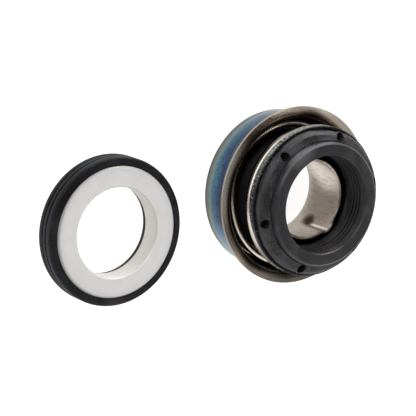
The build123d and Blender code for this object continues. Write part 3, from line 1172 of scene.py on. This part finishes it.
@dataclass
class RubberHead:
    """Bellows and the rubber round the primary ring, in one moulding."""

    bore: float = 8.0
    pocket: float = 10.75
    rim: float = 12.5
    web_rear: float = 3.95
    web_front: float = 5.15
    shoulder_rim: float = 7.07
    chamfer: float = 0.5
    chamfer_drop: float = 0.29
    chamfer_rise: float = 0.21
    nose_root: float = 7.8
    neck: float = 9.0
    wall: float = 10.35
    rubber: float = 0.8
    foot_rear: float = -7.4
    foot_radius: float = 12.8
    roll_low: float = -2.45
    roll_high: float = 0.35
    roll_bend: float = 0.9
    steps: int = 240
    fold_rear: float = -2.8
    fold_front: float = 3.6
    # The rim is drawn in along an arc, where the moulding has shrunk from the retainer.
    dent_angle: float = 76.0
    dent_half_width: float = 17.0
    dent_depth: float = 0.34
    dent_roundness: float = 0.7
    dent_inset: float = 0.9
    dent_inset_ease: float = 0.5
    dent_length: float = 1.9
    dent_length_ease: float = 0.8
    hole_count: int = 6
    hole_radius: float = 0.8
    hole_circle: float = 11.6
    hole_angle: float = 6.0
    hole_depth: float = 1.1
    hole_shade: str = "#020203"
    hole_shade_size: float = 1.4
    plug_clearance: float = 0.02
    mouth_inset: float = 0.02
    mouth_chamfer: float = 0.06
    mouth_wander: float = 0.05
    mouth_wave: float = 0.4
    # The long faces of the shoulder are cut up before the holes are sunk.
    shoulder_depth: float = 0.3
    forward_share: float = 0.5
    long_edge: float = 0.8
    long_edge_cuts: int = 7

    def build(self) -> None:
        """Moulds the rubber."""
        rubber = self.moulding()
        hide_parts("bellows")
        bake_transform(rubber)
        log.info("%s moulded with %d blind holes", rubber.name, self.hole_count)

    def section(self) -> list[Corner]:
        """Gives the closed section of the moulding.

        Returns:
            Radius, height and rounding of each corner, in millimetres.
        """
        half = self.rubber / 2
        slant = math.atan2(self.wall - self.neck, self.roll_high - self.roll_low)
        shift = half * math.tan(slant / 2)
        return [
            (self.bore, self.web_front, 0.0),
            (self.bore, self.web_rear, 0.15),
            (self.neck - half, self.web_rear, 0.3),
            (self.neck - half, self.roll_high - shift, self.roll_bend),
            (self.wall - half, self.roll_low - shift, self.roll_bend),
            (self.wall - half, self.foot_rear, 1.2),
            (self.foot_radius, self.foot_rear, 0.05),
            (self.foot_radius, self.foot_rear + self.rubber, 0.2),
            (self.wall + half, self.foot_rear + self.rubber, 0.45),
            (self.wall + half, self.roll_low + shift, self.roll_bend),
            (self.neck + half, self.roll_high + shift, self.roll_bend),
            (self.neck + half, self.web_rear, 0.3),
            (self.rim, self.web_rear, 0.35),
            (self.rim, self.shoulder_rim - self.chamfer_drop, 0.1),
            (self.rim - self.chamfer, self.shoulder_rim + self.chamfer_rise, 0.1),
            (self.pocket, self.nose_root, 0.1),
            (self.pocket, self.web_front, 0.0),
        ]

    def moulding(self) -> bpy.types.Object:
        """Moulds the rubber, with its ring of blind holes.

        Returns:
            The rubber.
        """
        mesh = lathe(self.section(), steps=self.steps)
        self.dent_rim(mesh)
        self.sink_holes(mesh)
        shaded = tuple(Patch(floor, self.hole_shade_size, self.hole_shade) for floor in self.hole_floors())
        # Below the web the rubber is painted near black, as painted shade inside the case.
        finish = MouldedRubber("moulded_nitrile", patches=shaded, inside_shade_below=self.web_rear)
        return finish_piece(mesh, "rubber_moulding", finish.material())

    def dent_rim(self, mesh: bmesh.types.BMesh) -> None:
        """Pulls the rim of the shoulder in where the moulding has shrunk from the retainer.

        Args:
            mesh: The turned moulding, in metres.
        """
        for vert in mesh.verts:
            outward = vert.co.xy.length / MM - self.rim + self.dent_inset
            forward = vert.co.z / MM - self.shoulder_rim + self.dent_length
            if outward <= 0 or forward <= 0:
                continue
            aside = math.degrees(math.atan2(vert.co.y, vert.co.x)) - self.dent_angle
            share = max(1 - (aside / self.dent_half_width) ** 2, 0.0) ** self.dent_roundness
            share *= min(outward / self.dent_inset_ease, 1.0) * min(forward / self.dent_length_ease, 1.0)
            vert.co.x, vert.co.y = vert.co.xy * (1 - self.dent_depth * share * MM / vert.co.xy.length)

    def hole_floors(self) -> list[Corner]:
        """Gives the middle of the floor of each blind hole.

        Returns:
            The middles, in millimetres.
        """
        floors = []
        for index in range(self.hole_count):
            angle = math.radians(self.hole_angle) + math.tau * index / self.hole_count
            height = (self.shoulder_rim + self.nose_root) / 2 - self.hole_depth
            floors.append((self.hole_circle * math.cos(angle), self.hole_circle * math.sin(angle), height))
        return floors

    def faces_above(self, mesh: bmesh.types.BMesh, height: float) -> list[bmesh.types.BMFace]:
        """Gives the faces of a mesh that look forwards and lie above a height in millimetres."""
        faces = [face for face in mesh.faces if face.normal.z > self.forward_share]
        return [face for face in faces if face.calc_center_median().z > height * MM]

    def sink_holes(self, mesh: bmesh.types.BMesh) -> None:
        """Sinks the blind holes into the shoulder.

        Args:
            mesh: The turned moulding, in metres.
        """
        shoulder = self.faces_above(mesh, self.shoulder_rim - self.shoulder_depth)
        edges = dict.fromkeys(edge for face in shoulder for edge in face.edges)
        long_edges = [edge for edge in edges if edge.calc_length() > self.long_edge * MM]
        bmesh.ops.subdivide_edges(mesh, edges=long_edges, cuts=self.long_edge_cuts, use_grid_fill=True)
        for across, along, floor in self.hole_floors():
            centre = Vector((across, along, 0)) * MM
            reach = (self.hole_radius + self.plug_clearance) * MM
            plug = [
                face
                for face in self.faces_above(mesh, floor)
                if (face.calc_center_median() - centre).xy.length < reach
            ]
            mouth = bmesh.ops.dissolve_faces(mesh, faces=plug)["region"][0]
            self.round_off(mouth, centre, self.hole_radius + self.mouth_chamfer)
            bmesh.ops.inset_individual(mesh, faces=[mouth], thickness=self.mouth_inset * MM)
            self.round_off(mouth, centre, self.hole_radius)
            walls = bmesh.ops.extrude_discrete_faces(mesh, faces=[mouth])["faces"][0]
            for vert in walls.verts:
                vert.co.z = floor * MM

    def round_off(self, mouth: bmesh.types.BMFace, centre: Vector, radius: float) -> None:
        """Spaces the corners of a hole's mouth round a circle on the shoulder, a little ragged as moulded.

        Args:
            mouth: Face of the mouth.
            centre: Middle of the hole, in metres.
            radius: Radius of the circle, in millimetres.
        """
        corners = [loop.vert for loop in mouth.loops]
        angles = [math.atan2(*(corner.co - centre).yx) for corner in corners]
        first = angles.index(min(angles))
        step = math.tau / len(corners)
        # The start comes from the mean of all the corners, so it is the same wherever the face's loop begins.
        start = math.fsum(angles) / len(corners) - step * (len(corners) - 1) / 2
        for index, vert in enumerate(corners[first:] + corners[:first]):
            angle = start + step * index
            outward = Vector((math.cos(angle), math.sin(angle), 0)) * radius * MM
            ragged = noise.noise((centre + outward) / (self.mouth_wave * MM))
            spot = centre + outward * (1 + self.mouth_wander * ragged)
            spot.z = self.skin(spot.xy.length / MM) * MM
            vert.co = spot

    def skin(self, radius: float) -> float:
        """Gives the height of the shoulder, or of the chamfer at its rim.

        Args:
            radius: Distance from the axis, in millimetres.

        Returns:
            The height, in millimetres.
        """
        slope = (self.nose_root - self.shoulder_rim) / (self.rim - self.pocket)
        shoulder = self.nose_root - slope * (radius - self.pocket)
        chamfer = self.shoulder_rim + slope * self.chamfer - (radius - self.rim + self.chamfer)
        return min(shoulder, chamfer)


@dataclass
class FaceUnit:
    """Retainer cup and carbon primary ring, which move together."""

    retainer_front: float = 5.95
    # Painted highlight on the primer at the top of the cup, the side that faces the lamps.
    cup_painted_highlight: Patch = Patch((-2.2, 12.6, 5.3), 12.0, "#8b8f86")
    # Painted shade deep in the mouth of the carbon ring, on its right.
    mouth_painted_shade: Patch = Patch((8.8, -3.4, 4.4), 4.9, "#08080a")
    # Painted highlight on the upper left of the nose's chamfer.
    nose_painted_highlight: Patch = Patch((-5.3, 11.2, 8.4), 4.6, "#59595c")

    def build(self) -> None:
        """Dresses the retainer and the primary ring."""
        cup = BondedCup("bonded_stainless_cup", patches=(self.cup_painted_highlight,), front=self.retainer_front)
        dress("retainer", cup.material())
        carbon = LappedCarbon("lapped_carbon", patches=(self.mouth_painted_shade, self.nose_painted_highlight))
        dress("primary_ring", carbon.material())


@dataclass
class SeatUnit:
    """Ceramic ring in its rubber cup, beside the head."""

    centre_x: float = -33.95
    rear: float = -7.85
    cup: float = 12.6
    pocket: float = 11.13
    bore: float = 7.82
    floor: float = 1.0
    rim: float = 4.45
    rear_chamfer: float = 0.9
    # Height up to which the outside of the rear lip is painted lighter.
    pale_lip_height: float = 0.63
    groove_depth: float = 0.34
    groove_half_width: float = 0.2
    grooves: tuple[float, ...] = (1.95, 3.05)
    steps: int = 240
    # Painted shade on the upper left of the cup's side, and a painted highlight along its bottom.
    cup_painted_shade_and_highlight: tuple[Patch, ...] = (
        Patch((-9.0, 9.4, -5.4), 7.0, "#0a0b0d"),
        Patch((-1.5, -13.0, -5.2), 4.0, "#37363a"),
    )

    def build(self) -> None:
        """Dresses the ceramic ring and moulds its cup."""
        dress("mating_ring", GroundAlumina("lapped_alumina", centre_x=self.centre_x).material())
        cup = self.moulded_cup()
        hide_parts("cup_gasket")
        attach(cup, Body.BASE.value)
        log.info("%s moulded round the ceramic ring", cup.name)

    def section(self) -> list[Corner]:
        """Gives the closed section of the cup, with its gripping grooves.

        Returns:
            Radius, height and rounding of each corner, in millimetres.
        """
        grooved: list[Corner] = []
        bottom, width = self.cup - self.groove_depth, self.groove_half_width
        for middle in self.grooves:
            grooved += [
                (self.cup, middle - width, 0.05),
                (bottom, middle - width / 3, 0.0),
                (bottom, middle + width / 3, 0.0),
                (self.cup, middle + width, 0.05),
            ]
        corners = [
            (self.bore, 0.0, 0.12),
            (self.cup - self.rear_chamfer, 0.0, 0.25),
            (self.cup, self.rear_chamfer, 0.25),
            *grooved,
            (self.cup, self.rim, 0.5),
            (self.pocket, self.rim, 0.05),
            (self.pocket, self.floor, 0.0),
            (self.bore, self.floor, 0.0),
        ]
        return [(radius, self.rear + height, rounding) for radius, height, rounding in corners]

    def moulded_cup(self) -> bpy.types.Object:
        """Moulds the rubber cup.

        Returns:
            The cup.
        """
        finish = MouldedRubber(
            "cup_nitrile",
            centre_x=self.centre_x,
            patches=self.cup_painted_shade_and_highlight,
            black="#15161a",
            bloom="#222428",
            dust="#303236",
            roughness=0.55,
            sheen=0.15,
            pale_lip_to=self.rear + self.pale_lip_height,
            pale_lip_radius=self.cup - self.rear_chamfer,
        )
        mesh = lathe(self.section(), self.centre_x, self.steps)
        return finish_piece(mesh, "seat_cup", finish.material())


@dataclass(frozen=True)
class Lamp:
    """Soft square lamp.

    Attributes:
        name: Name of the lamp.
        spot: Its place, in millimetres.
        size: Length of its side, in millimetres.
        power: Its power, in watts.
    """

    name: str
    spot: Corner
    size: float
    power: float


@dataclass
class Studio:
    """White table, soft lights and the camera."""

    table_height: float = -7.85
    table_size: float = 4000.0
    near_glow: float = 1.2
    far_glow: float = 0.16
    glow_reach: Reach = (-0.6, -0.05)
    lamps: tuple[Lamp, ...] = (
        Lamp("key", (290.0, 450.0, 130.0), 240.0, 2.7),
        Lamp("fill", (-420.0, 520.0, 420.0), 220.0, 2.7),
    )
    middle: Corner = (-17.0, 0.0, 0.0)
    lens: float = 155.77
    sensor: float = 36.0
    nearest: float = 1.0
    farthest: float = 20000.0
    eye: Corner = (-174.9, 85.2, 242.75)
    right: Corner = (0.8283, -0.0627, 0.5570)
    up: Corner = (0.2055, 0.9585, -0.1978)

    def build(self) -> None:
        """Sets the table, the lights, the world and the camera."""
        self.table()
        self.camera()
        for lamp in self.lamps:
            self.hang(lamp)
        self.world()

    def table(self) -> None:
        """Lays the white table under the piece."""
        mesh = bmesh.new()
        bmesh.ops.create_grid(mesh, x_segments=1, y_segments=1, size=self.table_size / 2 * MM)
        bmesh.ops.translate(mesh, verts=mesh.verts, vec=(0, 0, self.table_height * MM))
        finish_piece(mesh, "table", LitTable("white_acrylic").material())

    def camera(self) -> None:
        """Sets the camera on the side of the faces, rolled so that the seat stands on the left."""
        camera = bpy.data.objects.new("camera", bpy.data.cameras.new("camera"))
        bpy.context.scene.collection.objects.link(camera)
        camera.data.lens = self.lens
        camera.data.sensor_width = self.sensor
        camera.data.clip_start = self.nearest * MM
        camera.data.clip_end = self.farthest * MM
        right = Vector(self.right).normalized()
        back = right.cross(Vector(self.up)).normalized()
        turn = Matrix((right, back.cross(right), back)).transposed()
        camera.matrix_world = Matrix.Translation(Vector(self.eye) * MM) @ turn.to_4x4()
        bpy.context.scene.camera = camera

    def hang(self, lamp: Lamp) -> None:
        """Hangs a lamp that looks at the middle of the scene.

        Args:
            lamp: The lamp.
        """
        light = bpy.data.lights.new(lamp.name, "AREA")
        light.size = lamp.size * MM
        light.energy = lamp.power
        holder = bpy.data.objects.new(lamp.name, light)
        bpy.context.scene.collection.objects.link(holder)
        holder.location = Vector(lamp.spot) * MM
        way = Vector(self.middle) * MM - holder.location
        holder.rotation_euler = way.to_track_quat("-Z", "Y").to_euler()

    def world(self) -> None:
        """Makes the pale room round the table: white on the near side and dim on the far side."""
        world = bpy.data.worlds.new("pale_room")
        world.use_nodes = True
        tree = world.node_tree
        tree.nodes.clear()
        way = add_node(tree, "ShaderNodeTexCoord").outputs["Generated"]
        side = add_node(tree, "ShaderNodeSeparateXYZ", {0: way}).outputs[1]
        ends = {
            "Value": side,
            "From Min": self.glow_reach[0],
            "From Max": self.glow_reach[1],
            "To Min": self.near_glow,
            "To Max": self.far_glow,
        }
        glow = add_node(tree, "ShaderNodeMapRange", ends).outputs[0]
        air = add_node(tree, "ShaderNodeBackground", {"Color": linear("#ffffff"), "Strength": glow})
        add_node(tree, "ShaderNodeOutputWorld", {"Surface": air.outputs[0]})
        bpy.context.scene.world = world


def main() -> None:
    """Builds every unit."""
    logging.basicConfig(level=logging.INFO, format="%(name)s: %(message)s")
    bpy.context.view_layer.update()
    for unit in (CaseUnit(), SpringUnit(), RubberHead(), FaceUnit(), SeatUnit(), Studio()):
        unit.build()
        log.info("%s done", type(unit).__name__)
    bpy.context.scene.view_settings.view_transform = "Standard"


if __name__ == "__main__":
    main()
